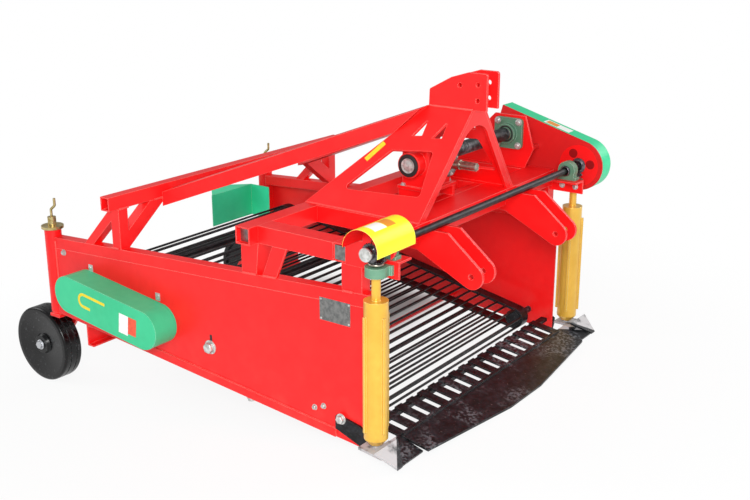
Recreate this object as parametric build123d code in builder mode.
from build123d import *
import os
from math import asin, atan2, ceil, cos, degrees, hypot, radians, sin, tan

# A potato digger carried on a tractor's three-point linkage. A share lifts the ridge, a rod
# web sifts it between two side panels, and a roller at each front corner turns the haulm in.
#
# Machine frame, in millimetres: +X to the left, -Y to the front, +Z up. X = 0 is the centre
# plane, and Y = 0, Z = 0 are at the tips of the share's wings. Everything is drawn level in
# this frame. The machine parks nose down, on its share and its two depth wheels, so the last
# step pitches the finished pieces about X and puts the origin under the middle of the whole.

# ------------------------------------------------------------------ driving sizes

# side panels and their top rails
panel_outer = 745.0          # centre plane to a panel's outer face
panel_sheet = 5.0
panel_front = 183.0
panel_foot_front = -10.0     # height of the lower edge at the front
panel_foot_rise = 0.0894     # rise of the lower edge per millimetre rearward
foot_strip_height = 36.0
foot_strip_thick = 6.0
strip_step = 4.0             # strip's front end behind the share's side plate
rail = 50.0                  # square top rail
rail_wall = 4.0
rail_front_top = 611.0
rail_fall = 0.0565

# wheel posts, legs and wheels
post_y = 1978.0
post_inset = 20.0            # panel's outer face to the post's axis
post_radius = 38.0
post_wall = 5.0
post_proud = 38.4            # post above the rail
leg_gap = 0.3                # leg to sleeve, all round
leg_top_below_post = 28.0
wheel_radius = 181.0
wheel_width = 95.0
wheel_overhang = 15.0        # wheel beyond the panel's outer face
wheel_trail = 122.0          # post's axis to the wheel's
wheel_drop = 180.5           # foot plate to the wheel's axis
wheel_side_gap = 8.0         # wheel to the leg's arm
arm_thick = 14.0
axle_radius = 15.0
running_gap = 0.06           # radial, in every plain bearing
foot_plate_gap = 12.0        # foot plate below the post's lower end
foot_plate_thick = 14.0
hub_play = 2.0               # wheel to the washer that holds it
hub_washer_radius = 24.0
hub_washer_thick = 4.0
hub_nut_radius = 19.0
hub_nut_thick = 10.0

# rear beam, its stands and the braces to the mast
beam_ahead = 480.0           # beam's front face ahead of the wheel posts
beam_width = 50.0
beam_height = 60.0
beam_step = 3.0              # beam above the tool frame's underside
beam_overhang = 50.0         # beam and rear tube beyond the panel's outer face
tube_wall = 5.0
stand_reach = 237.0          # beam's front face to the foot of the rear brace
stand_brace = 40.0           # depth of the rear brace
knee_depth = 60.0
brace_inset = 280.0          # panel's outer face to the mast brace, at the beam
brace_below = 5.0            # brace's axis below the beam's underside
brace_head_drop = 55.0       # brace's upper end below the mast's neck
brace_width = 50.0
brace_height = 60.0
brace_overrun = 80.0         # length beyond each end, cut off by the end planes

# tool frame: square tubes on one level
frame_above_rail = 101.0     # tube underside above the rail's front end
frame_tube = 70.0
front_tube_setback = 30.0    # tube's front face behind the panel's front edge
front_tube_inset = 4.0       # tube's end inside the panel's outer face
rear_tube_front = 707.0
second_tube = 60.0           # depth of the second cross tube, close behind the front one
outer_tube_width = 80.0
inner_tube_outer = 385.0
front_leg_depth = 92.0
rear_leg_width = 90.0
rear_leg_step = 15.0         # its front edge at the rail, behind the rear tube's front face
rear_leg_tail = 20.0         # and its rear edge behind the tube's rear face
middle_leg_plate = 12.0
middle_leg_top = 567.0       # its front edge under the frame
middle_leg_foot = 621.0      # its front edge on the rail
middle_leg_depth = 70.0
leg_width = 50.0

# mast
mast_plate = 12.0
mast_head_half = 50.0
mast_rise = 395.0            # frame top to the neck, where the side plates turn upright
mast_foot_half = 369.0
mast_foot_rear = 784.0
mast_foot_front = 224.0
mast_neck_front = 186.0
mast_neck_rear = 391.0
head_front = 125.0
head_corner = 11.0
top_pin_radius = 9.7         # category 1 top link pin, 19 mm
top_hole_y = 166.0
top_hole_rise = 101.0        # upper hole above the neck
top_hole_step = 62.0
third_hole_y = 247.0
third_hole_rise = 93.0
arch_leg = 50.0              # width of the front plate beside the arch
arch_shoulder_rise = 268.0   # frame top to where the arch's sides turn into its crown
arch_rise = 326.0
window_margin = 85.0         # window to the side plate's front and rear edges
window_narrow = 50.0         # the same at the window's lower front corner
window_foot = 68.0           # its lower edge above the frame top
window_top = 224.0
window_tilt = 16.0           # its front corners higher than its rear ones
window_corner = 14.0
slot_foot = 282.0            # foot of the two slots above the frame top
slot_height = 57.0
slot_width = 45.0
slot_margin = 81.0           # front slot behind the plate's front edge
slot_step = 93.0

# lower link lugs, category 1
link_spread = 683.0
link_gap = 77.0
lug_plate = 12.0
lug_reach = 243.0            # pin ahead of the front tube
lug_drop = 87.0              # pin below the tubes' underside
lug_radius = 50.0
link_pin_radius = 11.2       # 22 mm pin
lug_lower_slope = 26.0
lug_upper_slope = 39.0

# gearbox and its two shafts
gearbox_y = 428.0
gearbox_rise = 156.0         # shaft axes above the frame top
gearbox_half_width = 88.0
gearbox_hub_half = 138.0
gearbox_hub_radius = 52.0
gearbox_front_half = 63.0    # side shaft's axis to the front and rear faces
gearbox_rear_half = 71.0
gearbox_below = 113.0        # shaft axes above its foot
gearbox_above = 60.0
pto_neck_length = 50.0
pto_collar_step = 50.0       # neck's front face to the splined end
pto_spline_length = 76.0
pto_radius = 17.45           # 1 3/8 inch spline, over the crests
pto_journal_radius = 21.0
side_shaft_radius = 20.0     # its journals
side_tube_radius = 30.0      # the tube between them
side_tube_gap = 12.0         # tube's ends to the gearbox and to the bearing
bracket_plate = 10.0
flange_size = 143.0
flange_thick = 16.0
flange_hub_radius = 46.0
flange_hub_length = 40.0

# cross shaft, miter gears and side rollers
drive_ahead = 55.0           # shaft's axis ahead of the panels
drive_rise = 17.0            # and above the frame top
drive_radius = 15.0
drive_hub_length = 21.0
bearing_height = 43.0        # bearing axis above its seat
bearing_length = 94.0
bearing_width = 36.0
bearing_round = 41.0
roller_offset = 31.0         # panel's outer face to the roller's axis
roller_radius = 45.5
roller_foot = 55.0
roller_low = 78.0
roller_above_rail = 5.0
roller_neck_radius = 17.0
roller_bearing_drop = 75.0   # cross shaft's axis to the middle of the roller's bearing
rib_foot_step = 32.0         # smooth length below the ribs
rib_top_step = 56.0          # and above them
rib_depth = 9.0
rib_width = 10.0
rib_count = 4
miter_pitch_radius = 38.0
miter_face = 16.0
miter_gap = 0.8              # between the two pitch cones
shelf_thick = 8.0
shelf_inset = 90.0
shelf_ahead = 68.0           # shelf's front edge ahead of the shaft's axis
shelf_leg_drop = 33.0        # its upright leg below the middle of the roller's bearing
guard_inner_radius = 73.0
guard_sheet = 2.5
guard_plate_thick = 10.0

# chain case at the left end of the cross shaft
case_gap = 75.0              # panel's outer face to the case
case_plate = 6.0
case_half = 116.0            # half its width, and the radius of its front
case_length = 460.0          # cross shaft to the square rear end
case_slope = 15.9
case_depth = 90.0
case_sheet = 3.0
bore_clearance = 4.0         # round a shaft that passes through a plate

# web drive guard on the right panel
web_guard_radius = 85.0
web_guard_depth = 120.0
web_guard_sheet = 3.0

# rod web: one fixed loop round its front idlers and rear sprockets
idler_y = 312.0
idler_z = 75.0
idler_turn = 45.0            # axis to the middle of the belts
sprocket_ahead = 247.0       # sprocket shaft ahead of the wheel posts
sprocket_z = 316.0
sprocket_turn = 76.0
support_ahead = 463.0        # support shaft ahead of the sprocket shaft
support_wheel = 39.0
belt_thick = 12.0
belt_width = 55.0
belt_inset = 105.0           # panel's outer face to the belt's outer edge
rod_radius = 5.5
rod_pitch = 50.0
web_shaft_radius = 20.0
support_shaft_radius = 15.0
idler_axle_radius = 15.0
web_shaft_reach = 95.0       # web shafts beyond the right panel, into the drive guard
sprocket_shaft_tail = 45.0   # and beyond the left panel
support_shaft_tail = 25.0
seat_gap = 0.3               # a curved face to the one it lies against

# share, wings and finger grid
share_front = -80.0
share_front_half = 130.0
share_side_front = -20.0
share_rear = 115.0
share_inset = 95.0           # share's ends inside the panels' outer faces
share_rise = 33.0            # rise of its underside, front edge to rear edge
share_plate = 10.0
wing_overhang = 75.0         # wing's front corner beyond the panel's outer face
wing_rear = 78.0
wing_rise = 58.0
wing_rear_inset = 32.0
wing_rear_overhang = 117.0
wing_plate = 8.0
side_plate_thick = 10.0
side_plate_rear = 334.0
finger_count = 17
finger_inset = 18.0          # outermost fingers' middles inside the share's ends
finger_width = 45.0
finger_thick = 8.0
finger_rear = 240.0
finger_bar = 30.0

# cross members under the web
cross_tube_y = 740.0
cross_tube_rise = 28.0       # above the panel's lower edge
cross_tube_radius = 14.0
cross_beam_step = 2.0        # beam's front face behind the sprocket shaft's axis
cross_beam_depth = 40.0
cross_beam_height = 100.6
cross_beam_wall = 6.0

# rear deflector, on the left only
deflector_inner = 372.0
deflector_behind = 72.0      # deflector behind the wheel posts
deflector_drop = 57.6        # its top below the rail's
deflector_height = 175.0
deflector_flange = 88.0
deflector_sheet = 3.0
deflector_side_ahead = 59.0


# ------------------------------------------------------------------ places that follow

panel_inner = panel_outer - panel_sheet
rail_inner = panel_outer - rail
frame_foot = rail_front_top + frame_above_rail
frame_top = frame_foot + frame_tube
rear_tube_rear = rear_tube_front + frame_tube
rear_tube_half = panel_outer + beam_overhang
front_tube_front = panel_front + front_tube_setback
front_tube_rear = front_tube_front + frame_tube
front_tube_half = panel_outer - front_tube_inset
second_tube_rear = front_tube_rear + second_tube
inner_tube_inner = inner_tube_outer - frame_tube
beam_front = post_y - beam_ahead
beam_rear = beam_front + beam_width
beam_foot = frame_foot + beam_step
beam_half = panel_outer + beam_overhang
post_x = panel_outer - post_inset
post_bore = post_radius - post_wall
leg_radius = post_bore - leg_gap
wheel_outer = panel_outer + wheel_overhang
wheel_inner = wheel_outer - wheel_width
wheel_y = post_y + wheel_trail
arm_outer = wheel_inner - wheel_side_gap
arm_inner = arm_outer - arm_thick
mast_neck = frame_top + mast_rise
gearbox_z = frame_top + gearbox_rise
gearbox_front = gearbox_y - gearbox_front_half
gearbox_rear = gearbox_y + gearbox_rear_half
pto_neck_front = gearbox_front - pto_neck_length
bracket_inner = rail_inner
drive_y = panel_front - drive_ahead
drive_z = frame_top + drive_rise
lug_y = front_tube_front - lug_reach
lug_z = frame_foot - lug_drop
lug_half_span = link_gap / 2 + lug_plate
roller_x = panel_outer + roller_offset
case_back = panel_outer + case_gap
case_outer = case_back + case_depth
web_guard_outer = panel_outer + web_guard_depth
sprocket_y = post_y - sprocket_ahead
support_y = sprocket_y - support_ahead
belt_outer = panel_outer - belt_inset
share_half = panel_outer - share_inset
share_angle = degrees(atan2(share_rise, share_rear - share_front))

# The upper run of the belts lies on the two rollers of the support shaft.
web_pitch = atan2(sprocket_z - idler_z, sprocket_y - idler_y)
web_span = hypot(sprocket_y - idler_y, sprocket_z - idler_z)
run_angle = web_pitch + asin((sprocket_turn - idler_turn) / web_span)
upper_run_z = idler_z + (support_y - idler_y) * tan(run_angle) + idler_turn / cos(run_angle)
support_z = upper_run_z - (support_wheel + belt_thick / 2 + seat_gap) / cos(run_angle)
wing_half = panel_outer + wing_overhang


def rail_top(y):
    """Height of the top rail's upper face."""
    return rail_front_top - rail_fall * (y - panel_front)


def panel_foot(y):
    """Height of the side panel's lower edge."""
    return panel_foot_front + panel_foot_rise * (y - panel_front)


post_foot = panel_foot(post_y)
post_top = rail_top(post_y) + post_proud
foot_plate_top = post_foot - foot_plate_gap
wheel_z = foot_plate_top - wheel_drop


def across_plane(x):
    """Side view at a distance X from the centre plane: local x is Y, local y is Z."""
    return Plane.YZ.offset(x)


def front_plane(y):
    """Front view at Y: local x is X, local y is Z, and extrusion runs forward."""
    return Plane.XZ.offset(-y)


pieces = {}


def keep(name, part):
    """File a finished piece under its node's name."""
    pieces[name] = part


def keep_pair(name, left):
    """File a left piece, and its mirror image as the right one."""
    keep("left_" + name, left)
    keep("right_" + name, left.mirror(Plane.YZ))


# ------------------------------------------------------------------ side panels and rails

strip_front = side_plate_rear + strip_step
with BuildPart() as side_panel:
    with BuildSketch(across_plane(panel_inner)):
        with BuildLine():
            Polyline(
                (panel_front, panel_foot(panel_front)),
                (post_y, panel_foot(post_y)),
                (post_y, rail_top(post_y) - rail),
                (panel_front, rail_top(panel_front) - rail),
                close=True,
            )
        make_face()
        with Locations((sprocket_y, sprocket_z)):
            Circle(web_shaft_radius + seat_gap, mode=Mode.SUBTRACT)
        with Locations((support_y, support_z)):
            Circle(support_shaft_radius + seat_gap, mode=Mode.SUBTRACT)
        with Locations((idler_y, idler_z)):
            Circle(idler_axle_radius + seat_gap, mode=Mode.SUBTRACT)
    extrude(amount=panel_sheet)
    with BuildSketch(across_plane(panel_outer)):
        with BuildLine():
            Polyline(
                (strip_front, panel_foot(strip_front)),
                (post_y, panel_foot(post_y)),
                (post_y, panel_foot(post_y) + foot_strip_height),
                (strip_front, panel_foot(strip_front) + foot_strip_height),
                close=True,
            )
        make_face()
    extrude(amount=foot_strip_thick)
    with BuildSketch(Plane.XY.offset(2 * panel_foot_front)):
        with Locations((post_x, post_y)):
            Circle(post_radius + seat_gap)
    extrude(amount=rail_front_top, mode=Mode.SUBTRACT)
keep_pair("side_panel", side_panel.part)

with BuildPart() as top_rails:
    with BuildSketch(across_plane(rail_inner)):
        with BuildLine():
            Polyline(
                (panel_front, rail_top(panel_front) - rail),
                (post_y, rail_top(post_y) - rail),
                (post_y, rail_top(post_y)),
                (panel_front, rail_top(panel_front)),
                close=True,
            )
        make_face()
    extrude(amount=rail)
    with BuildSketch(across_plane(rail_inner + rail_wall)):
        with BuildLine():
            Polyline(
                (panel_front, rail_top(panel_front) - rail + rail_wall),
                (post_y, rail_top(post_y) - rail + rail_wall),
                (post_y, rail_top(post_y) - rail_wall),
                (panel_front, rail_top(panel_front) - rail_wall),
                close=True,
            )
        make_face()
    extrude(amount=rail - 2 * rail_wall, mode=Mode.SUBTRACT)
    with BuildSketch(Plane.XY.offset(post_foot)):
        with Locations((post_x, post_y)):
            Circle(post_radius + seat_gap)
    extrude(amount=rail_front_top, mode=Mode.SUBTRACT)
    mirror(about=Plane.YZ)
keep("top_rails", top_rails.part)

# ------------------------------------------------------------------ depth wheels

with BuildPart() as wheel_posts:
    with BuildSketch(Plane.XY.offset(post_foot)):
        with Locations((post_x, post_y)):
            Circle(post_radius)
            Circle(post_bore, mode=Mode.SUBTRACT)
    extrude(amount=post_top - post_foot)
    mirror(about=Plane.YZ)
keep("wheel_posts", wheel_posts.part)

crank_flange = 12.0
crank_flange_radius = 50.0
crank_collar_radius = 19.0
crank_collar_top = post_top + 52.0
crank_rod_radius = 6.0
crank_rod_seat = 10.0
crank_bend = 10.0
crank_elbow = crank_collar_top + 34.0
crank_handle_y = post_y - 29.0
crank_handle_foot = crank_elbow + 22.0
crank_handle_top = crank_handle_foot + 34.0
with BuildPart() as height_cranks:
    with BuildSketch(Plane.XY.offset(post_top)):
        with Locations((post_x, post_y)):
            Circle(crank_flange_radius)
    extrude(amount=crank_flange)
    with BuildSketch(Plane.XY.offset(post_top + crank_flange)):
        with Locations((post_x, post_y)):
            Circle(crank_collar_radius)
    extrude(amount=crank_collar_top - post_top - crank_flange)
    with BuildLine(across_plane(post_x)) as crank_path:
        FilletPolyline(
            (post_y, crank_collar_top - crank_rod_seat),
            (post_y, crank_elbow),
            (crank_handle_y, crank_handle_foot),
            (crank_handle_y, crank_handle_top),
            radius=crank_bend,
        )
    with BuildSketch(Plane.XY.offset(crank_collar_top - crank_rod_seat)):
        with Locations((post_x, post_y)):
            Circle(crank_rod_radius)
    sweep(path=crank_path.line)
    mirror(about=Plane.YZ)
keep("height_cranks", height_cranks.part)

foot_plate_foot = foot_plate_top - foot_plate_thick
arm_hub_radius = 40.0
arm_front = post_y - leg_radius
arm_front_drop = 30.0
arm_rear_step = 18.0
arm_front_angle = radians(50)
arm_rear_angle = radians(60)
hub_washer_inner = wheel_outer + hub_play
hub_nut_inner = hub_washer_inner + hub_washer_thick
with BuildPart() as wheel_leg:
    with BuildSketch(Plane.XY.offset(foot_plate_top)):
        with Locations((post_x, post_y)):
            Circle(leg_radius)
    extrude(amount=post_top - leg_top_below_post - foot_plate_top)
    with BuildSketch(Plane.XY.offset(foot_plate_foot)):
        with BuildLine():
            Polyline(
                (arm_inner, arm_front),
                (post_x + leg_radius, arm_front),
                (post_x + leg_radius, post_y + leg_radius),
                (arm_inner, post_y + leg_radius),
                close=True,
            )
        make_face()
    extrude(amount=foot_plate_thick)
    with BuildSketch(across_plane(arm_inner)):
        with BuildLine():
            Polyline(
                (arm_front, foot_plate_top),
                (arm_front, foot_plate_foot - arm_front_drop),
                (
                    wheel_y - arm_hub_radius * sin(arm_front_angle),
                    wheel_z - arm_hub_radius * cos(arm_front_angle),
                ),
                (
                    wheel_y + arm_hub_radius * sin(arm_rear_angle),
                    wheel_z + arm_hub_radius * cos(arm_rear_angle),
                ),
                (post_y + leg_radius + arm_rear_step, foot_plate_top),
                close=True,
            )
        make_face()
        with Locations((wheel_y, wheel_z)):
            Circle(arm_hub_radius)
    extrude(amount=arm_thick)
    with BuildSketch(across_plane(arm_outer)):
        with Locations((wheel_y, wheel_z)):
            Circle(axle_radius)
    extrude(amount=hub_nut_inner + hub_nut_thick - arm_outer)
    with BuildSketch(across_plane(hub_washer_inner)):
        with Locations((wheel_y, wheel_z)):
            Circle(hub_washer_radius)
    extrude(amount=hub_washer_thick)
    with BuildSketch(across_plane(hub_nut_inner)):
        with Locations((wheel_y, wheel_z)):
            RegularPolygon(radius=hub_nut_radius, side_count=6)
    extrude(amount=hub_nut_thick)
keep_pair("wheel_leg", wheel_leg.part)

wheel_axis = Axis((0, wheel_y, wheel_z), (1, 0, 0))
tread_grooves = 2
groove_width = 5.0
groove_depth = 4.0
rim_round = 12.0
hub_boss_radius = 42.0
hub_boss_flare = 8.0
rim_depth = 26.0
rim_slope = 8.0
dish = 14.0
with BuildPart() as wheel:
    with BuildSketch(Plane(origin=(0, wheel_y, wheel_z), x_dir=(1, 0, 0), z_dir=(0, -1, 0))):
        with BuildLine():
            Polyline(
                (wheel_inner, axle_radius + running_gap),
                (wheel_inner, hub_boss_radius),
                (wheel_inner + dish, hub_boss_radius + hub_boss_flare),
                (wheel_inner + dish, wheel_radius - rim_depth - rim_slope),
                (wheel_inner, wheel_radius - rim_depth),
                (wheel_inner, wheel_radius),
                (wheel_outer, wheel_radius),
                (wheel_outer, wheel_radius - rim_depth),
                (wheel_outer - dish, hub_boss_radius + hub_boss_flare),
                (wheel_outer, hub_boss_radius),
                (wheel_outer, axle_radius + running_gap),
                close=True,
            )
        make_face()
        for n in range(tread_grooves):
            groove_x = wheel_inner + wheel_width * (n + 1) / (tread_grooves + 1)
            with Locations((groove_x, wheel_radius)):
                Rectangle(groove_width, 2 * groove_depth, mode=Mode.SUBTRACT)
    revolve(axis=wheel_axis)
    rim_edges = wheel.edges().filter_by(GeomType.CIRCLE).filter_by(lambda e: e.radius > wheel_radius - 0.01)
    fillet([rim_edges.sort_by(Axis.X)[0], rim_edges.sort_by(Axis.X)[-1]], radius=rim_round)
keep_pair("wheel", wheel.part)

# ------------------------------------------------------------------ rear beam, stands, braces

with BuildPart() as rear_beam:
    with BuildSketch(across_plane(-beam_half)):
        with Locations((beam_front + beam_width / 2, beam_foot + beam_height / 2)):
            Rectangle(beam_width, beam_height)
            Rectangle(beam_width - 2 * tube_wall, beam_height - 2 * tube_wall, mode=Mode.SUBTRACT)
    extrude(amount=2 * beam_half)
keep("rear_beam", rear_beam.part)

# Each stand is an upright, a brace running down to the rear and a knee running in under the beam,
# as far as the mast brace.
brace_rear_x = panel_outer - brace_inset
stand_rear_foot = beam_front + stand_reach
knee_top_inner = brace_rear_x
brace_run = stand_rear_foot - beam_rear
brace_drop = beam_foot - rail_top(stand_rear_foot)
brace_cut = stand_brace * hypot(brace_run, brace_drop) / brace_drop
knee_run = rail_inner - knee_top_inner
knee_drop = beam_foot - rail_top(beam_front)
knee_cut = knee_depth * hypot(knee_run, knee_drop) / knee_drop
with BuildPart() as beam_stands:
    with BuildSketch(across_plane(rail_inner)):
        with BuildLine():
            Polyline(
                (beam_front, rail_top(beam_front)),
                (beam_rear, rail_top(beam_rear)),
                (beam_rear, beam_foot),
                (beam_front, beam_foot),
                close=True,
            )
        make_face()
        with BuildLine():
            Polyline(
                (beam_rear, beam_foot),
                (stand_rear_foot, rail_top(stand_rear_foot)),
                (stand_rear_foot - brace_cut, rail_top(stand_rear_foot - brace_cut)),
                (beam_rear, beam_foot - brace_cut * brace_drop / brace_run),
                close=True,
            )
        make_face()
    extrude(amount=rail)
    with BuildSketch(front_plane(beam_rear)):
        with BuildLine():
            Polyline(
                (knee_top_inner, beam_foot),
                (knee_top_inner + knee_cut, beam_foot),
                (rail_inner, beam_foot - (knee_run - knee_cut) * knee_drop / knee_run),
                (rail_inner, rail_top(beam_front)),
                close=True,
            )
        make_face()
    extrude(amount=beam_width)
    mirror(about=Plane.YZ)
keep("beam_stands", beam_stands.part)

# A mast brace runs from the rear beam's front face up to the rear edge of the mast.
mast_spread = (mast_foot_half - mast_head_half) / (mast_neck - frame_top)
mast_rear_lean = (mast_foot_rear - mast_neck_rear) / (mast_neck - frame_top)
brace_start = Vector(brace_rear_x, beam_front, beam_foot - brace_below)
brace_stop = Vector(
    mast_head_half + brace_head_drop * mast_spread,
    mast_neck_rear + brace_head_drop * mast_rear_lean,
    mast_neck - brace_head_drop,
)
brace_line = (brace_stop - brace_start).normalized()
brace_side = Vector(-brace_line.Y, brace_line.X, 0).normalized()
mast_rear_plane = Plane(
    origin=(0, mast_neck_rear, mast_neck), x_dir=(1, 0, 0), z_dir=(0, 1, mast_rear_lean)
)
with BuildPart() as mast_braces:
    brace_end = Plane(origin=brace_start - brace_line * brace_overrun, x_dir=brace_side, z_dir=brace_line)
    with BuildSketch(brace_end):
        Rectangle(brace_width, brace_height)
        Rectangle(brace_width - 2 * tube_wall, brace_height - 2 * tube_wall, mode=Mode.SUBTRACT)
    extrude(amount=(brace_stop - brace_start).length + 2 * brace_overrun)
    split(bisect_by=front_plane(beam_front), keep=Keep.TOP)
    split(bisect_by=mast_rear_plane, keep=Keep.TOP)
    mirror(about=Plane.YZ)
keep("mast_braces", mast_braces.part)

# ------------------------------------------------------------------ tool frame

# columns: front face, depth, half its length
cross_tube_table = (
    (rear_tube_front, frame_tube, rear_tube_half),
    (front_tube_rear, second_tube, front_tube_half),
    (front_tube_front, frame_tube, front_tube_half),
)
with BuildPart() as cross_tubes:
    for front, depth, half in cross_tube_table:
        with BuildSketch(across_plane(-half)):
            with Locations((front + depth / 2, frame_foot + frame_tube / 2)):
                Rectangle(depth, frame_tube)
                Rectangle(depth - 2 * tube_wall, frame_tube - 2 * tube_wall, mode=Mode.SUBTRACT)
        extrude(amount=2 * half)
keep("frame_cross_tubes", cross_tubes.part)

# columns: outer face, width
side_tube_table = (
    (panel_outer, outer_tube_width),
    (inner_tube_outer, frame_tube),
)
with BuildPart() as side_tubes:
    for outer, width in side_tube_table:
        with BuildSketch(front_plane(rear_tube_front)):
            with Locations((outer - width / 2, frame_foot + frame_tube / 2)):
                Rectangle(width, frame_tube)
                Rectangle(width - 2 * tube_wall, frame_tube - 2 * tube_wall, mode=Mode.SUBTRACT)
        extrude(amount=rear_tube_front - second_tube_rear)
    mirror(about=Plane.YZ)
keep("frame_side_tubes", side_tubes.part)

front_leg_rear = front_tube_front + front_leg_depth
middle_leg_top_rear = middle_leg_top + middle_leg_depth
middle_leg_foot_rear = middle_leg_foot + middle_leg_depth
rear_leg_foot = rear_tube_front + rear_leg_step
rear_leg_rear = rear_tube_rear + rear_leg_tail
# columns: front and rear at the top, front and rear at the foot, width across the machine
frame_leg_table = (
    (front_tube_front, front_leg_rear, front_tube_front, front_leg_rear, leg_width),
    (middle_leg_top, middle_leg_top_rear, middle_leg_foot, middle_leg_foot_rear, middle_leg_plate),
    (rear_tube_front, rear_leg_rear, rear_leg_foot, rear_leg_rear, rear_leg_width),
)
with BuildPart() as frame_legs:
    for top_front, top_rear, foot_front, foot_rear, width in frame_leg_table:
        with BuildSketch(across_plane(panel_outer - width)):
            with BuildLine():
                Polyline(
                    (foot_front, rail_top(foot_front)),
                    (foot_rear, rail_top(foot_rear)),
                    (top_rear, frame_foot),
                    (top_front, frame_foot),
                    close=True,
                )
            make_face()
        extrude(amount=width)
    mirror(about=Plane.YZ)
keep("frame_legs", frame_legs.part)

# ------------------------------------------------------------------ mast

side_plate_normal = Vector(1, 0, mast_spread).normalized()
side_plate_stretch = hypot(1, mast_spread)
side_plate_plane = Plane(origin=(mast_head_half, 0, mast_neck), x_dir=(0, 1, 0), z_dir=side_plate_normal)


def front_edge(rise):
    """Front edge of the mast at a height above the frame top."""
    return mast_foot_front + (mast_neck_front - mast_foot_front) * rise / mast_rise


def rear_edge(rise):
    """Rear edge of the mast at a height above the frame top."""
    return mast_foot_rear - mast_rear_lean * rise


def on_side_plate(y, z):
    """A point of the inclined plate's outer face, in its plane's own coordinates."""
    return (y, (z - mast_neck) * side_plate_stretch)


plate_overrun = 14.0
slot_top = 6.0               # width of a slot's narrow upper end
slot_tilt = 5.0
with BuildPart() as mast_side_plates:
    with BuildSketch(side_plate_plane):
        with BuildLine():
            Polyline(
                on_side_plate(mast_foot_front, frame_top - plate_overrun),
                on_side_plate(mast_foot_rear + plate_overrun * mast_rear_lean, frame_top - plate_overrun),
                on_side_plate(mast_neck_rear - plate_overrun * mast_rear_lean, mast_neck + plate_overrun),
                on_side_plate(mast_neck_front, mast_neck + plate_overrun),
                close=True,
            )
        make_face()
        with BuildLine():
            window_front_foot = window_foot + window_tilt
            window_front_top = window_top + window_tilt
            FilletPolyline(
                on_side_plate(rear_edge(window_foot) - window_margin, frame_top + window_foot),
                on_side_plate(rear_edge(window_top) - window_margin, frame_top + window_top),
                on_side_plate(front_edge(window_front_top) + window_margin, frame_top + window_front_top),
                on_side_plate(front_edge(window_front_foot) + window_narrow, frame_top + window_front_foot),
                radius=window_corner,
                close=True,
            )
        make_face(mode=Mode.SUBTRACT)
        slot_foot_z = frame_top + slot_foot
        slot_top_z = slot_foot_z + slot_height
        first_slot = front_edge(slot_foot + slot_height) + slot_margin
        for slot_front in (first_slot, first_slot + slot_step):
            with BuildLine():
                Polyline(
                    on_side_plate(slot_front + slot_width, slot_foot_z),
                    on_side_plate(slot_front, slot_foot_z + slot_tilt),
                    on_side_plate(slot_front, slot_top_z),
                    on_side_plate(slot_front + slot_top, slot_top_z),
                    close=True,
                )
            make_face(mode=Mode.SUBTRACT)
    extrude(amount=-mast_plate)
    split(bisect_by=Plane.XY.offset(frame_top), keep=Keep.TOP)
    split(bisect_by=Plane.XY.offset(mast_neck), keep=Keep.BOTTOM)
    mirror(about=Plane.YZ)
keep("mast_side_plates", mast_side_plates.part)

# columns: Y of each corner of a head plate, and its height above the neck
head_table = (
    (head_front, 0.0),
    (head_front, 146.0),
    (212.0, 146.0),
    (288.0, 122.0),
    (389.0, 67.0),
    (mast_neck_rear, 0.0),
)
top_hole_z = mast_neck + top_hole_rise
third_hole_z = mast_neck + third_hole_rise
with BuildPart() as mast_head:
    with BuildSketch(across_plane(mast_head_half - mast_plate)) as head_outline:
        with BuildLine():
            Polyline(*[(corner_y, mast_neck + rise) for corner_y, rise in head_table], close=True)
        make_face()
        fillet(head_outline.vertices().sort_by(Axis.Y)[2:], radius=head_corner)
        with Locations(
            (top_hole_y, top_hole_z),
            (top_hole_y, top_hole_z - top_hole_step),
            (third_hole_y, third_hole_z),
        ):
            Circle(top_pin_radius, mode=Mode.SUBTRACT)
    extrude(amount=mast_plate)
    mirror(about=Plane.YZ)
keep("mast_head", mast_head.part)

# The front plate leans back a little and fills the space between the side plates, over an arch.
front_lean = (mast_neck_front - mast_foot_front) / (mast_neck - frame_top)
side_plate_run = mast_plate * side_plate_stretch
front_plate_back = 12.0
shoulder_z = frame_top + arch_shoulder_rise
arch_top = frame_top + arch_rise
arch_half = mast_foot_half - arch_leg
shoulder_half = arch_half - arch_shoulder_rise * mast_spread


def front_plate_y(z):
    """Front face of the mast's front plate."""
    return mast_foot_front + front_lean * (z - frame_top)


with BuildPart() as mast_front_plate:
    with BuildSketch(front_plane(0)):
        with BuildLine():
            Polyline(
                (-(mast_foot_half - side_plate_run), frame_top),
                (mast_foot_half - side_plate_run, frame_top),
                (mast_head_half - side_plate_run, mast_neck),
                (-(mast_head_half - side_plate_run), mast_neck),
                close=True,
            )
        make_face()
        with BuildLine():
            Line((arch_half, frame_top), (shoulder_half, shoulder_z))
            ThreePointArc((shoulder_half, shoulder_z), (0, arch_top), (-shoulder_half, shoulder_z))
            Line((-shoulder_half, shoulder_z), (-arch_half, frame_top))
            Line((-arch_half, frame_top), (arch_half, frame_top))
        make_face(mode=Mode.SUBTRACT)
    extrude(amount=-2 * mast_foot_front)
    with BuildSketch(across_plane(-mast_foot_half)):
        with BuildLine():
            Polyline(
                (front_plate_y(frame_top), frame_top),
                (front_plate_y(frame_top) + front_plate_back, frame_top),
                (front_plate_y(mast_neck) + front_plate_back, mast_neck),
                (front_plate_y(mast_neck), mast_neck),
                close=True,
            )
        make_face()
    extrude(amount=2 * mast_foot_half, mode=Mode.INTERSECT)
keep("mast_front_plate", mast_front_plate.part)

# ------------------------------------------------------------------ lower link lugs

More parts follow.
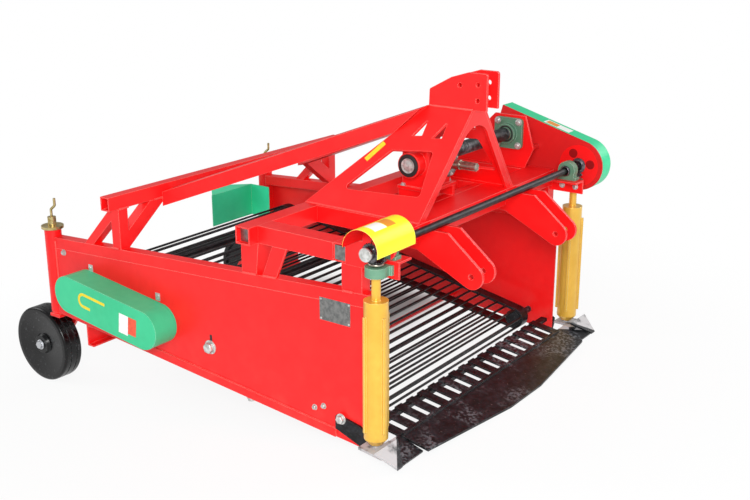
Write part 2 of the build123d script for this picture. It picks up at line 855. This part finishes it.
lug_foot_rear = front_tube_rear
lower_slope = radians(lug_lower_slope)
upper_slope = radians(lug_upper_slope)
lug_low_y = lug_y + lug_radius * sin(lower_slope)
lug_low_z = lug_z - lug_radius * cos(lower_slope)
lug_high_y = lug_y - lug_radius * sin(upper_slope)
lug_high_z = lug_z + lug_radius * cos(upper_slope)
lug_shaft_gap = 8.0
lug_tail = 22.0
lug_crest_z = drive_z - drive_radius - lug_shaft_gap
lug_crest_y = lug_high_y + (lug_crest_z - lug_high_z) / tan(upper_slope)
with BuildPart() as link_lugs:
    for lug_x in (link_spread / 2 - lug_half_span, link_spread / 2 + link_gap / 2):
        with BuildSketch(across_plane(lug_x)):
            with BuildLine():
                Polyline(
                    (lug_low_y, lug_low_z),
                    (front_tube_front, lug_low_z + (front_tube_front - lug_low_y) * tan(lower_slope)),
                    (lug_foot_rear, frame_foot - lug_tail),
                    (lug_foot_rear, frame_foot),
                    (front_tube_front, frame_foot),
                    (front_tube_front, lug_crest_z),
                    (lug_crest_y, lug_crest_z),
                    (lug_high_y, lug_high_z),
                    close=True,
                )
            make_face()
            with Locations((lug_y, lug_z)):
                Circle(lug_radius)
                Circle(link_pin_radius, mode=Mode.SUBTRACT)
        extrude(amount=lug_plate)
    mirror(about=Plane.YZ)
keep("link_lugs", link_lugs.part)

# ------------------------------------------------------------------ gearbox and its shafts

bearer = 40.0
bearer_ahead = 20.0
bearer_overlap = 28.0
bearer_fronts = (gearbox_front - bearer_ahead, gearbox_rear - bearer_overlap)
gearbox_foot = gearbox_z - gearbox_below
gearbox_top = gearbox_z + gearbox_above
saddle_x = 74.0
saddle_plate = 14.0
with BuildPart() as gearbox_bearers:
    for bearer_front in bearer_fronts:
        with BuildSketch(across_plane(-inner_tube_inner)):
            with Locations((bearer_front + bearer / 2, frame_top - bearer / 2)):
                Rectangle(bearer, bearer)
        extrude(amount=2 * inner_tube_inner)
    for plate_x in (-saddle_x - saddle_plate, saddle_x):
        with BuildSketch(across_plane(plate_x)):
            with BuildLine():
                Polyline(
                    (bearer_fronts[0], frame_top),
                    (bearer_fronts[1] + bearer, frame_top),
                    (bearer_fronts[1] + bearer, gearbox_foot),
                    (bearer_fronts[0], gearbox_foot),
                    close=True,
                )
            make_face()
        extrude(amount=saddle_plate)
keep("gearbox_bearers", gearbox_bearers.part)

gearbox_round = 14.0
gearbox_flange = 14.0
gearbox_flange_half = gearbox_half_width + 10.0
neck_seat = 1.0
neck_bore_end = gearbox_front + 10.0
pto_collar = pto_neck_front - pto_collar_step
pto_tip = pto_collar - pto_spline_length
with BuildPart() as gearbox:
    with BuildSketch(Plane.XY.offset(gearbox_foot + gearbox_flange)):
        with Locations((0, (gearbox_front + gearbox_rear) / 2)):
            RectangleRounded(2 * gearbox_half_width, gearbox_rear - gearbox_front, gearbox_round)
    extrude(amount=gearbox_top - gearbox_foot - gearbox_flange)
    fillet(gearbox.faces().sort_by(Axis.Z)[-1].edges(), radius=gearbox_round)
    with BuildSketch(Plane.XY.offset(gearbox_foot)):
        with BuildLine():
            Polyline(
                (-gearbox_flange_half, bearer_fronts[0]),
                (gearbox_flange_half, bearer_fronts[0]),
                (gearbox_flange_half, bearer_fronts[1] + bearer),
                (-gearbox_flange_half, bearer_fronts[1] + bearer),
                close=True,
            )
        make_face()
    extrude(amount=gearbox_flange)
    with BuildSketch(across_plane(-gearbox_hub_half)):
        with Locations((gearbox_y, gearbox_z)):
            Circle(gearbox_hub_radius)
    extrude(amount=2 * gearbox_hub_half)
    with BuildSketch(front_plane(gearbox_front + neck_seat)):
        with Locations((0, gearbox_z)):
            Circle(gearbox_hub_radius)
    extrude(amount=gearbox_front + neck_seat - pto_neck_front)
    with BuildSketch(front_plane(neck_bore_end)):
        with Locations((0, gearbox_z)):
            Circle(pto_journal_radius + running_gap)
    extrude(amount=neck_bore_end - pto_neck_front, mode=Mode.SUBTRACT)
    with BuildSketch(across_plane(gearbox_half_width)):
        with Locations((gearbox_y, gearbox_z)):
            Circle(side_shaft_radius + running_gap)
    extrude(amount=gearbox_hub_half - gearbox_half_width, mode=Mode.SUBTRACT)
keep("gearbox", gearbox.part)

pto_inner_end = neck_bore_end - 5.0
pto_chamfer = 2.5
with BuildPart() as pto_shaft:
    with BuildSketch(front_plane(pto_inner_end)):
        with Locations((0, gearbox_z)):
            Circle(pto_journal_radius)
    extrude(amount=pto_inner_end - pto_collar)
    with BuildSketch(front_plane(pto_collar)):
        with Locations((0, gearbox_z)):
            Circle(pto_radius)
    extrude(amount=pto_collar - pto_tip)
    chamfer(pto_shaft.faces().sort_by(Axis.Y)[0].edges(), length=pto_chamfer)
keep("pto_shaft", pto_shaft.part)

shaft_end_gap = 12.0
side_shaft_start = gearbox_half_width + running_gap
side_shaft_end = case_outer - case_sheet - shaft_end_gap
side_tube_start = gearbox_hub_half + side_tube_gap
side_tube_end = bracket_inner - flange_hub_length - side_tube_gap
with BuildPart() as side_shaft:
    with BuildSketch(across_plane(side_shaft_start)):
        with Locations((gearbox_y, gearbox_z)):
            Circle(side_shaft_radius)
    extrude(amount=side_shaft_end - side_shaft_start)
    with BuildSketch(across_plane(side_tube_start)):
        with Locations((gearbox_y, gearbox_z)):
            Circle(side_tube_radius)
    extrude(amount=side_tube_end - side_tube_start)
keep("side_shaft", side_shaft.part)

bracket_margin = 8.0
bracket_crown = 12.0
bracket_front = second_tube_rear - 41.0
bracket_front_rise = 90.0
bracket_rear_rise = 40.0
bracket_top = gearbox_z + flange_size / 2 + bracket_crown
bracket_outer = bracket_inner + bracket_plate
with BuildPart() as side_shaft_bracket:
    with BuildSketch(across_plane(bracket_inner)):
        with BuildLine():
            Polyline(
                (second_tube_rear, frame_top),
                (rear_tube_front, frame_top),
                (rear_tube_front, frame_top + bracket_rear_rise),
                (gearbox_y + flange_size / 2 + bracket_margin, bracket_top),
                (gearbox_y - flange_size / 2 - bracket_margin, bracket_top),
                (bracket_front, frame_top + bracket_front_rise),
                close=True,
            )
        make_face()
        with Locations((gearbox_y, gearbox_z)):
            Circle(side_shaft_radius + bore_clearance, mode=Mode.SUBTRACT)
    extrude(amount=bracket_plate)
keep("side_shaft_bracket", side_shaft_bracket.part)

flange_corner = 18.0
with BuildPart() as side_shaft_bearing:
    with BuildSketch(across_plane(bracket_inner - flange_thick)):
        with Locations((gearbox_y, gearbox_z)):
            RectangleRounded(flange_size, flange_size, flange_corner)
    extrude(amount=flange_thick)
    with BuildSketch(across_plane(bracket_inner - flange_hub_length)):
        with Locations((gearbox_y, gearbox_z)):
            Circle(flange_hub_radius)
    extrude(amount=flange_hub_length - flange_thick)
    with BuildSketch(across_plane(bracket_inner - flange_hub_length)):
        with Locations((gearbox_y, gearbox_z)):
            Circle(side_shaft_radius + running_gap)
    extrude(amount=flange_hub_length, mode=Mode.SUBTRACT)
keep("side_shaft_bearing", side_shaft_bearing.part)

# ------------------------------------------------------------------ cross shaft and rollers

bearing_seat_x = roller_x - bearing_height       # outer face of the bracket's upright leg
shelf_top = drive_z - bearing_height
shelf_rear = front_tube_front
shelf_front = drive_y - shelf_ahead
shelf_inner = panel_outer - shelf_inset
shaft_bearing_x = bearing_seat_x - shelf_thick - bearing_width / 2
roller_bearing_z = drive_z - roller_bearing_drop
shelf_leg_foot = roller_bearing_z - shelf_leg_drop
with BuildPart() as roller_brackets:
    with BuildSketch(front_plane(shelf_rear)):
        with BuildLine():
            Polyline(
                (shelf_inner, shelf_top - shelf_thick),
                (bearing_seat_x - shelf_thick, shelf_top - shelf_thick),
                (bearing_seat_x - shelf_thick, shelf_leg_foot),
                (bearing_seat_x, shelf_leg_foot),
                (bearing_seat_x, shelf_top),
                (shelf_inner, shelf_top),
                close=True,
            )
        make_face()
    extrude(amount=shelf_rear - shelf_front)
    mirror(about=Plane.YZ)
keep("roller_brackets", roller_brackets.part)

bearing_foot = 14.0
bearing_cheek = bearing_round - 4.0
with BuildPart() as shaft_bearings:
    with BuildSketch(across_plane(shaft_bearing_x - bearing_width / 2)):
        with Locations((drive_y, shelf_top + bearing_foot / 2)):
            Rectangle(bearing_length, bearing_foot)
        with Locations((drive_y, shelf_top + bearing_height / 2)):
            Rectangle(2 * bearing_cheek, bearing_height)
        with Locations((drive_y, drive_z)):
            Circle(bearing_round)
            Circle(drive_radius + running_gap, mode=Mode.SUBTRACT)
    extrude(amount=bearing_width)
    split(bisect_by=Plane.XY.offset(shelf_top), keep=Keep.TOP)
    mirror(about=Plane.YZ)
keep("shaft_bearings", shaft_bearings.part)

with BuildPart() as roller_bearings:
    with BuildSketch(Plane.XY.offset(roller_bearing_z - bearing_width / 2)):
        with Locations((bearing_seat_x + bearing_foot / 2, drive_y)):
            Rectangle(bearing_foot, bearing_length)
        with Locations((bearing_seat_x + bearing_height / 2, drive_y)):
            Rectangle(bearing_height, 2 * bearing_cheek)
        with Locations((roller_x, drive_y)):
            Circle(bearing_round)
            Circle(drive_radius + running_gap, mode=Mode.SUBTRACT)
    extrude(amount=bearing_width)
    mirror(about=Plane.YZ)
keep("roller_bearings", roller_bearings.part)

# Both miter gears are plain cones just inside their pitch cones; they share one apex, where
# the cross shaft's axis crosses the roller's.
cone_length = miter_face * cos(radians(45))
cone_small = miter_pitch_radius - cone_length
cone_drop = miter_gap / 2 * hypot(1, 1)
gear_outer = roller_x + miter_pitch_radius
gear_inner = roller_x + cone_small
gear_hub_radius = 24.0
drive_right_end = -(gear_outer + drive_hub_length)
with BuildPart() as drive_gears:
    for side in (-1, 1):
        with BuildSketch(across_plane(side * gear_inner)):
            with Locations((drive_y, drive_z)):
                Circle(cone_small - cone_drop)
        with BuildSketch(across_plane(side * gear_outer)):
            with Locations((drive_y, drive_z)):
                Circle(miter_pitch_radius - cone_drop)
        loft()
    with BuildSketch(across_plane(drive_right_end)):
        with Locations((drive_y, drive_z)):
            Circle(gear_hub_radius)
    extrude(amount=-drive_right_end - gear_outer)
    with BuildSketch(across_plane(drive_right_end)):
        with Locations((drive_y, drive_z)):
            Circle(drive_radius)
    extrude(amount=-2 * drive_right_end, mode=Mode.SUBTRACT)
keep("drive_gears", drive_gears.part)

washer_radius = 25.0
washer_thick = 8.0
with BuildPart() as drive_shaft:
    with BuildSketch(across_plane(drive_right_end)):
        with Locations((drive_y, drive_z)):
            Circle(drive_radius)
    extrude(amount=side_shaft_end - drive_right_end)
    with BuildSketch(across_plane(drive_right_end - washer_thick)):
        with Locations((drive_y, drive_z)):
            Circle(washer_radius)
    extrude(amount=washer_thick)
keep("drive_shaft", drive_shaft.part)

bearing_side_gap = 3.0
roller_gear_top = drive_z - cone_small
roller_gear_wide = drive_z - miter_pitch_radius
roller_gear_foot = roller_bearing_z + bearing_width / 2 + bearing_side_gap
with BuildPart() as roller_gear:
    with BuildSketch(Plane.XY.offset(roller_gear_wide)):
        with Locations((roller_x, drive_y)):
            Circle(miter_pitch_radius - cone_drop)
    with BuildSketch(Plane.XY.offset(roller_gear_top)):
        with Locations((roller_x, drive_y)):
            Circle(cone_small - cone_drop)
    loft()
    with BuildSketch(Plane.XY.offset(roller_gear_foot)):
        with Locations((roller_x, drive_y)):
            Circle(gear_hub_radius)
    extrude(amount=roller_gear_wide - roller_gear_foot)
    with BuildSketch(Plane.XY.offset(roller_gear_foot)):
        with Locations((roller_x, drive_y)):
            Circle(drive_radius)
    extrude(amount=roller_gear_top - roller_gear_foot, mode=Mode.SUBTRACT)
keep_pair("roller_gear", roller_gear.part)

pivot_radius = 15.0
pivot_depth = 45.0
roller_top = rail_front_top + roller_above_rail
roller_foot_radius = roller_radius - 18.0
roller_shoulder = roller_bearing_z - bearing_width / 2 - bearing_side_gap
rib_foot = roller_low + rib_foot_step
rib_top = roller_top - rib_top_step
first_rib = 20.0
with BuildPart() as roller:
    with BuildSketch(Plane.XY.offset(roller_low)):
        with Locations((roller_x, drive_y)):
            Circle(roller_radius)
    extrude(amount=roller_top - roller_low)
    with BuildSketch(Plane.XY.offset(roller_foot)):
        with Locations((roller_x, drive_y)):
            Circle(roller_foot_radius)
    with BuildSketch(Plane.XY.offset(roller_low)):
        with Locations((roller_x, drive_y)):
            Circle(roller_radius)
    loft()
    with BuildSketch(Plane.XY.offset(rib_foot)):
        with Locations((roller_x, drive_y)):
            with PolarLocations(roller_radius, rib_count, start_angle=first_rib):
                Rectangle(2 * rib_depth, rib_width)
    extrude(amount=rib_top - rib_foot)
    with BuildSketch(Plane.XY.offset(roller_top)):
        with Locations((roller_x, drive_y)):
            Circle(roller_neck_radius)
    extrude(amount=roller_shoulder - roller_top)
    with BuildSketch(Plane.XY.offset(roller_shoulder)):
        with Locations((roller_x, drive_y)):
            Circle(drive_radius)
    extrude(amount=roller_gear_top - roller_shoulder)
    with BuildSketch(Plane.XY.offset(roller_foot)):
        with Locations((roller_x, drive_y)):
            Circle(pivot_radius + running_gap)
    extrude(amount=pivot_depth, mode=Mode.SUBTRACT)
keep_pair("roller", roller.part)

# The right bevel gears have a half-round guard on a plate that caps the front tube's end.
guard_y = drive_y + 5.0
guard_z = drive_z + 20.0
guard_overhang = 120.0
guard_inset = 110.0
guard_outer_end = -(panel_outer + guard_overhang)
guard_inner_end = -(panel_outer - guard_inset)
guard_skirt = 17.0
guard_outer_radius = guard_inner_radius + guard_sheet
with BuildPart() as bevel_guard:
    with BuildSketch(across_plane(guard_outer_end)):
        with BuildLine():
            ThreePointArc(
                (guard_y - guard_outer_radius, guard_z),
                (guard_y, guard_z + guard_outer_radius),
                (guard_y + guard_outer_radius, guard_z),
            )
            Line((guard_y + guard_outer_radius, guard_z), (guard_y + guard_inner_radius, guard_z))
            ThreePointArc(
                (guard_y + guard_inner_radius, guard_z),
                (guard_y, guard_z + guard_inner_radius),
                (guard_y - guard_inner_radius, guard_z),
            )
            Polyline(
                (guard_y - guard_inner_radius, guard_z),
                (guard_y - guard_inner_radius, guard_z - guard_skirt),
                (guard_y - guard_outer_radius, guard_z - guard_skirt),
                (guard_y - guard_outer_radius, guard_z),
            )
        make_face()
    extrude(amount=guard_inner_end - guard_outer_end)
keep("bevel_guard", bevel_guard.part)

guard_plate_radius = guard_inner_radius - seat_gap
guard_plate_gap = 6.0
guard_plate_step = 8.0
guard_plate_notch = miter_pitch_radius + guard_plate_gap
guard_notch_depth = 120.0
guard_plate_outer = front_tube_half + guard_plate_thick
guard_plate_tail = drive_y + bearing_length / 2 + guard_plate_gap
with BuildPart() as guard_plate:
    with BuildSketch(across_plane(-guard_plate_outer)):
        with Locations((guard_y, guard_z)):
            Circle(guard_plate_radius)
        with BuildLine():
            Polyline(
                (guard_y - guard_plate_radius, guard_z),
                (guard_y - guard_plate_radius, guard_z - guard_skirt),
                (guard_plate_tail, guard_z - guard_skirt),
                (guard_plate_tail, frame_foot),
                (front_tube_rear, frame_foot),
                (front_tube_rear, guard_z - guard_plate_step),
                (guard_y + guard_plate_radius, guard_z - guard_plate_step),
                (guard_y + guard_plate_radius, guard_z),
                close=True,
            )
        make_face()
        with Locations((drive_y, drive_z)):
            Circle(guard_plate_notch, mode=Mode.SUBTRACT)
        with Locations((drive_y, drive_z - guard_notch_depth / 2)):
            Rectangle(2 * guard_plate_notch, guard_notch_depth, mode=Mode.SUBTRACT)
    extrude(amount=guard_plate_thick)
keep("guard_plate", guard_plate.part)

# ------------------------------------------------------------------ chain case

case_angle = radians(case_slope)


def case_plane(x):
    """Side view with local x along the chain case, from the cross shaft to its square end."""
    return Plane(
        origin=(x, drive_y, drive_z), x_dir=(0, cos(case_angle), sin(case_angle)), z_dir=(1, 0, 0)
    )


# columns: place along the case and across it, radius
case_bores = (
    (0.0, 0.0, drive_radius + bore_clearance),
    (
        (gearbox_y - drive_y) * cos(case_angle) + (gearbox_z - drive_z) * sin(case_angle),
        (gearbox_z - drive_z) * cos(case_angle) - (gearbox_y - drive_y) * sin(case_angle),
        side_shaft_radius + bore_clearance,
    ),
)
spacer_radius = 14.0
spacer_run = 78.0
spacer_drop = 78.0
spacer_places = (
    (gearbox_y - spacer_run, gearbox_z - spacer_drop),
    (gearbox_y + spacer_run, gearbox_z - spacer_drop),
)
with BuildPart() as chain_case_plate:
    with BuildSketch(case_plane(case_back)):
        Circle(case_half)
        with Locations((case_length / 2, 0)):
            Rectangle(case_length, 2 * case_half)
        for bore_x, bore_y, bore_radius in case_bores:
            with Locations((bore_x, bore_y)):
                Circle(bore_radius, mode=Mode.SUBTRACT)
    extrude(amount=case_plate)
    with BuildSketch(across_plane(bracket_outer)):
        with Locations(*spacer_places):
            Circle(spacer_radius)
    extrude(amount=case_back - bracket_outer)
keep("chain_case_plate", chain_case_plate.part)

case_inside = case_half - case_sheet
with BuildPart() as chain_case_cover:
    with BuildSketch(case_plane(case_back + case_plate)):
        Circle(case_half)
        with Locations((case_length / 2, 0)):
            Rectangle(case_length, 2 * case_half)
    extrude(amount=case_outer - case_back - case_plate)
    with BuildSketch(case_plane(case_back + case_plate)):
        Circle(case_inside)
        with Locations(((case_length - case_sheet) / 2, 0)):
            Rectangle(case_length - case_sheet, 2 * case_inside)
    extrude(amount=case_outer - case_back - case_plate - case_sheet, mode=Mode.SUBTRACT)
keep("chain_case_cover", chain_case_cover.part)

# ------------------------------------------------------------------ web drive guard

with BuildPart() as web_drive_guard:
    with BuildSketch(across_plane(-web_guard_outer)) as guard_outline:
        with Locations((support_y, support_z), (sprocket_y, sprocket_z)):
            Circle(web_guard_radius)
        make_hull()
    extrude(amount=web_guard_outer - panel_outer)
    with BuildSketch(across_plane(-web_guard_outer + web_guard_sheet)):
        with Locations((support_y, support_z), (sprocket_y, sprocket_z)):
            Circle(web_guard_radius - web_guard_sheet)
        make_hull()
    extrude(amount=web_guard_outer - panel_outer - web_guard_sheet, mode=Mode.SUBTRACT)
keep("web_drive_guard", web_drive_guard.part)

# ------------------------------------------------------------------ rod web

with BuildSketch(Plane.YZ) as rod_track:
    with Locations((idler_y, idler_z)):
        Circle(idler_turn)
    with Locations((sprocket_y, sprocket_z)):
        Circle(sprocket_turn)
    make_hull()
rod_loop = rod_track.sketch.face().outer_wire()
rod_count = ceil(rod_loop.length / rod_pitch)
rod_places = [rod_loop.position_at(n / rod_count) for n in range(rod_count)]
belt_margin = 4.0
rod_half = belt_outer - belt_margin
belt_inner = belt_outer - belt_width
with BuildPart() as rod_web:
    for belt_x in (belt_inner, -belt_outer):
        with BuildSketch(across_plane(belt_x)):
            with Locations((idler_y, idler_z)):
                Circle(idler_turn + belt_thick / 2)
            with Locations((sprocket_y, sprocket_z)):
                Circle(sprocket_turn + belt_thick / 2)
            make_hull()
            offset(amount=-belt_thick, mode=Mode.SUBTRACT)
        extrude(amount=belt_width)
    with BuildSketch(across_plane(-rod_half)):
        with Locations(*[(place.Y, place.Z) for place in rod_places]):
            Circle(rod_radius)
    extrude(amount=2 * rod_half)
keep("rod_web", rod_web.part)

idler_wheel = idler_turn - belt_thick / 2 - seat_gap
idler_inner = belt_inner - belt_margin
with BuildPart() as web_idlers:
    with BuildSketch(across_plane(idler_inner)):
        with Locations((idler_y, idler_z)):
            Circle(idler_wheel)
    extrude(amount=belt_outer + belt_margin - idler_inner)
    with BuildSketch(across_plane(belt_outer)):
        with Locations((idler_y, idler_z)):
            Circle(idler_axle_radius)
    extrude(amount=panel_outer - belt_outer)
    mirror(about=Plane.YZ)
keep("web_idlers", web_idlers.part)

sprocket_wheel = sprocket_turn - belt_thick / 2 - seat_gap
web_shaft_right = -(panel_outer + web_shaft_reach)
sprocket_shaft_left = panel_outer + sprocket_shaft_tail
support_shaft_left = panel_outer + support_shaft_tail
web_bearing_radius = 42.0
web_bearing_thick = 26.0
# columns: axis y, axis z, shaft radius, wheel radius, right end of the shaft, left end
web_shaft_table = (
    (sprocket_y, sprocket_z, web_shaft_radius, sprocket_wheel, web_shaft_right, sprocket_shaft_left),
    (support_y, support_z, support_shaft_radius, support_wheel, web_shaft_right, support_shaft_left),
)
with BuildPart() as web_shafts:
    for shaft_y, shaft_z, shaft_radius, turn_radius, right_end, left_end in web_shaft_table:
        with BuildSketch(across_plane(right_end)):
            with Locations((shaft_y, shaft_z)):
                Circle(shaft_radius)
        extrude(amount=left_end - right_end)
        for turn_x in (belt_inner + belt_margin, -belt_outer + belt_margin):
            with BuildSketch(across_plane(turn_x)):
                with Locations((shaft_y, shaft_z)):
                    Circle(turn_radius)
            extrude(amount=belt_width - 2 * belt_margin)
        for bearing_x in (panel_outer, -panel_outer - web_bearing_thick):
            with BuildSketch(across_plane(bearing_x)):
                with Locations((shaft_y, shaft_z)):
                    Circle(web_bearing_radius)
            extrude(amount=web_bearing_thick)
keep("web_shafts", web_shafts.part)

# ------------------------------------------------------------------ share and wings

share_slope = radians(share_angle)
share_plane = Plane(
    origin=(0, share_front, 0), x_dir=(1, 0, 0), z_dir=(0, -sin(share_slope), cos(share_slope))
)
share_stretch = 1 / cos(share_slope)
share_side_run = (share_side_front - share_front) * share_stretch
share_run = (share_rear - share_front) * share_stretch
strip_width = 14.0
strip_height = 6.0
strip_edge = 4.0
strip_end = 10.0
with BuildPart() as share:
    with BuildSketch(share_plane):
        with BuildLine():
            Polyline(
                (-share_front_half, 0),
                (share_front_half, 0),
                (share_half, share_side_run),
                (share_half, share_run),
                (-share_half, share_run),
                (-share_half, share_side_run),
                close=True,
            )
        make_face()
    extrude(amount=share_plate)
    with BuildSketch(share_plane.offset(share_plate)):
        with Locations((0, share_run - strip_width / 2 - strip_edge)):
            Rectangle(2 * (share_half - strip_end), strip_width)
    extrude(amount=strip_height)
keep("share", share.part)

wing_slope = atan2(wing_rise, wing_rear)
wing_stretch = 1 / cos(wing_slope)
wing_top_plane = Plane(origin=(0, 0, 0), x_dir=(1, 0, 0), z_dir=(0, -sin(wing_slope), cos(wing_slope)))
base_front = 4.0
base_tip_inset = 24.0
wing_overlap = 2.0
wing_rear_inner = panel_outer - wing_rear_inset
wing_rear_outer = panel_outer + wing_rear_overhang
base_slope = atan2(share_rise, share_rear - base_front)
base_stretch = 1 / cos(base_slope)
base_plane = Plane(
    origin=(0, base_front, 0), x_dir=(1, 0, 0), z_dir=(0, -sin(base_slope), cos(base_slope))
)
base_run = (share_rear - base_front) * base_stretch
pivot_seat = 42.0
pivot_plate = 10.0
pivot_plate_rear = 176.0
pivot_plate_margin = 46.0
pivot_tuck = 20.0            # pivot plate's front edge under the wing
pivot_top_gap = 4.0          # pivot pin below the end of the roller's bore
pivot_plate_outer = roller_x + pivot_plate_margin
with BuildPart() as share_wings:
    with BuildSketch(base_plane):
        with BuildLine():
            Polyline(
                (share_half + seat_gap, 0),
                (wing_half - base_tip_inset, 0),
                (panel_outer, base_run),
                (share_half + seat_gap, base_run),
                close=True,
            )
        make_face()
    extrude(amount=wing_plate)
    with BuildSketch(wing_top_plane):
        with BuildLine():
            Polyline(
                (wing_half - base_tip_inset - wing_overlap, 0),
                (wing_half, 0),
                (wing_rear_outer, wing_rear * wing_stretch),
                (wing_rear_inner, wing_rear * wing_stretch),
                close=True,
            )
        make_face()
    extrude(amount=wing_plate)
    with BuildSketch(Plane.XY.offset(pivot_seat - pivot_plate)):
        with BuildLine():
            Polyline(
                (wing_rear_inner, wing_rear - pivot_tuck),
                (wing_rear_outer - pivot_tuck, wing_rear - pivot_tuck),
                (pivot_plate_outer, pivot_plate_rear),
                (panel_outer, pivot_plate_rear),
                (panel_outer, share_rear),
                (wing_rear_inner, share_rear),
                close=True,
            )
        make_face()
    extrude(amount=pivot_plate)
    with BuildSketch(Plane.XY.offset(pivot_seat)):
        with Locations((roller_x, drive_y)):
            Circle(pivot_radius)
    extrude(amount=roller_foot + pivot_depth - pivot_top_gap - pivot_seat)
    mirror(about=Plane.YZ)
keep("share_wings", share_wings.part)

side_plate_nose = 14.0
side_plate_shoulder = 40.0
side_plate_shoulder_z = 84.0
side_plate_top = 104.0
side_plate_corner = 8.0
side_plate_rear_foot = 44.0
side_plate_heel = 20.0
side_plate_foot = panel_foot(panel_front) + 8.0
with BuildPart() as share_side_plates:
    with BuildSketch(across_plane(panel_outer)):
        with BuildLine():
            Polyline(
                (pivot_plate_rear, pivot_seat - pivot_plate),
                (pivot_plate_rear, pivot_seat + side_plate_nose),
                (panel_front + side_plate_shoulder, side_plate_shoulder_z),
                (side_plate_rear - side_plate_corner, side_plate_top),
                (side_plate_rear, side_plate_top - side_plate_corner),
                (side_plate_rear, side_plate_rear_foot),
                (panel_front + side_plate_heel, side_plate_foot),
                (panel_front, side_plate_foot),
                close=True,
            )
        make_face()
    extrude(amount=side_plate_thick)
    mirror(about=Plane.YZ)
keep("share_side_plates", share_side_plates.part)

finger_lift = 18.0
finger_pitch = 2 * (share_half - finger_inset) / (finger_count - 1)
with BuildPart() as finger_grid:
    for n in range(finger_count):
        finger_x = (n - (finger_count - 1) / 2) * finger_pitch
        with BuildSketch(across_plane(finger_x - finger_width / 2)):
            with BuildLine():
                Polyline(
                    (share_rear, share_rise),
                    (finger_rear, share_rise + finger_lift),
                    (finger_rear, share_rise + finger_lift + finger_thick),
                    (share_rear, share_rise + finger_thick),
                    close=True,
                )
            make_face()
        extrude(amount=finger_width)
    with BuildSketch(across_plane(-panel_inner)):
        with Locations((finger_rear - finger_bar / 2, share_rise + finger_lift - finger_thick)):
            Rectangle(finger_bar, 2 * finger_thick)
    extrude(amount=2 * panel_inner)
keep("finger_grid", finger_grid.part)

# ------------------------------------------------------------------ lower cross members

cross_beam_front = sprocket_y + cross_beam_step
cross_beam_foot = panel_foot(cross_beam_front) - cross_beam_height
with BuildPart() as lower_cross_members:
    with BuildSketch(across_plane(-panel_inner)):
        with Locations((cross_tube_y, panel_foot(cross_tube_y) + cross_tube_rise)):
            Circle(cross_tube_radius)
    extrude(amount=2 * panel_inner)
    beam_crown = panel_foot(cross_beam_front)
    with BuildSketch(across_plane(-panel_outer)):
        with BuildLine():
            Polyline(
                (cross_beam_front, cross_beam_foot),
                (cross_beam_front + cross_beam_depth, cross_beam_foot),
                (cross_beam_front + cross_beam_depth, beam_crown),
                (cross_beam_front, beam_crown),
                (cross_beam_front, beam_crown - cross_beam_wall),
                (cross_beam_front + cross_beam_depth - cross_beam_wall, beam_crown - cross_beam_wall),
                (cross_beam_front + cross_beam_depth - cross_beam_wall, cross_beam_foot + cross_beam_wall),
                (cross_beam_front, cross_beam_foot + cross_beam_wall),
                close=True,
            )
        make_face()
    extrude(amount=2 * panel_outer)
keep("lower_cross_members", lower_cross_members.part)

# ------------------------------------------------------------------ rear deflector

deflector_front = post_y + deflector_behind
deflector_side_front = post_y - deflector_side_ahead
deflector_top = rail_top(post_y) - deflector_drop
deflector_foot = deflector_top - deflector_height
deflector_outer = post_x - post_radius - seat_gap
with BuildPart() as rear_deflector:
    with BuildSketch(front_plane(deflector_front + deflector_sheet)):
        with BuildLine():
            Polyline(
                (deflector_inner, deflector_foot),
                (deflector_outer, deflector_foot),
                (deflector_outer, deflector_top),
                (deflector_inner, deflector_top),
                close=True,
            )
        make_face()
    extrude(amount=deflector_sheet)
    with BuildSketch(Plane.XY.offset(deflector_top - deflector_sheet)):
        with BuildLine():
            Polyline(
                (deflector_inner, deflector_front),
                (deflector_outer, deflector_front),
                (deflector_outer - deflector_flange, deflector_front + deflector_flange),
                (deflector_inner + deflector_flange, deflector_front + deflector_flange),
                close=True,
            )
        make_face()
    extrude(amount=deflector_sheet)
    with BuildSketch(across_plane(deflector_outer - deflector_sheet)):
        with BuildLine():
            Polyline(
                (deflector_side_front, deflector_foot),
                (deflector_front + deflector_sheet, deflector_foot),
                (deflector_front + deflector_sheet, deflector_top),
                (deflector_side_front, deflector_top),
                close=True,
            )
        make_face()
    extrude(amount=deflector_sheet)
keep("rear_deflector", rear_deflector.part)

# ------------------------------------------------------------------ parked attitude

# The wheels hang below the share's front edge in the machine frame. The pitch that brings both
# to the ground turns the machine about that edge.
wheel_reach = hypot(wheel_y - share_front, wheel_z)
park_pitch = degrees(asin(wheel_radius / wheel_reach) - atan2(wheel_z, wheel_y - share_front))
share_edge = Location((0, share_front, 0))
parked = share_edge * Location((0, 0, 0), (1, 0, 0), park_pitch) * share_edge.inverse()
standing = {name: part.moved(parked) for name, part in pieces.items()}
boxes = [part.bounding_box() for part in standing.values()]
middle_x = (min(box.min.X for box in boxes) + max(box.max.X for box in boxes)) / 2
middle_y = (min(box.min.Y for box in boxes) + max(box.max.Y for box in boxes)) / 2
ground_z = min(box.min.Z for box in boxes)
to_origin = Location((-middle_x, -middle_y, -ground_z))

os.makedirs("parts", exist_ok=True)
for name, part in standing.items():
    placed = part.moved(to_origin)
    placed.label = name
    export_step(placed, f"parts/{name}.step")
print(f"{len(pieces)} nodes, parked pitch {park_pitch:.3f} degrees, moved by {to_origin.position}")
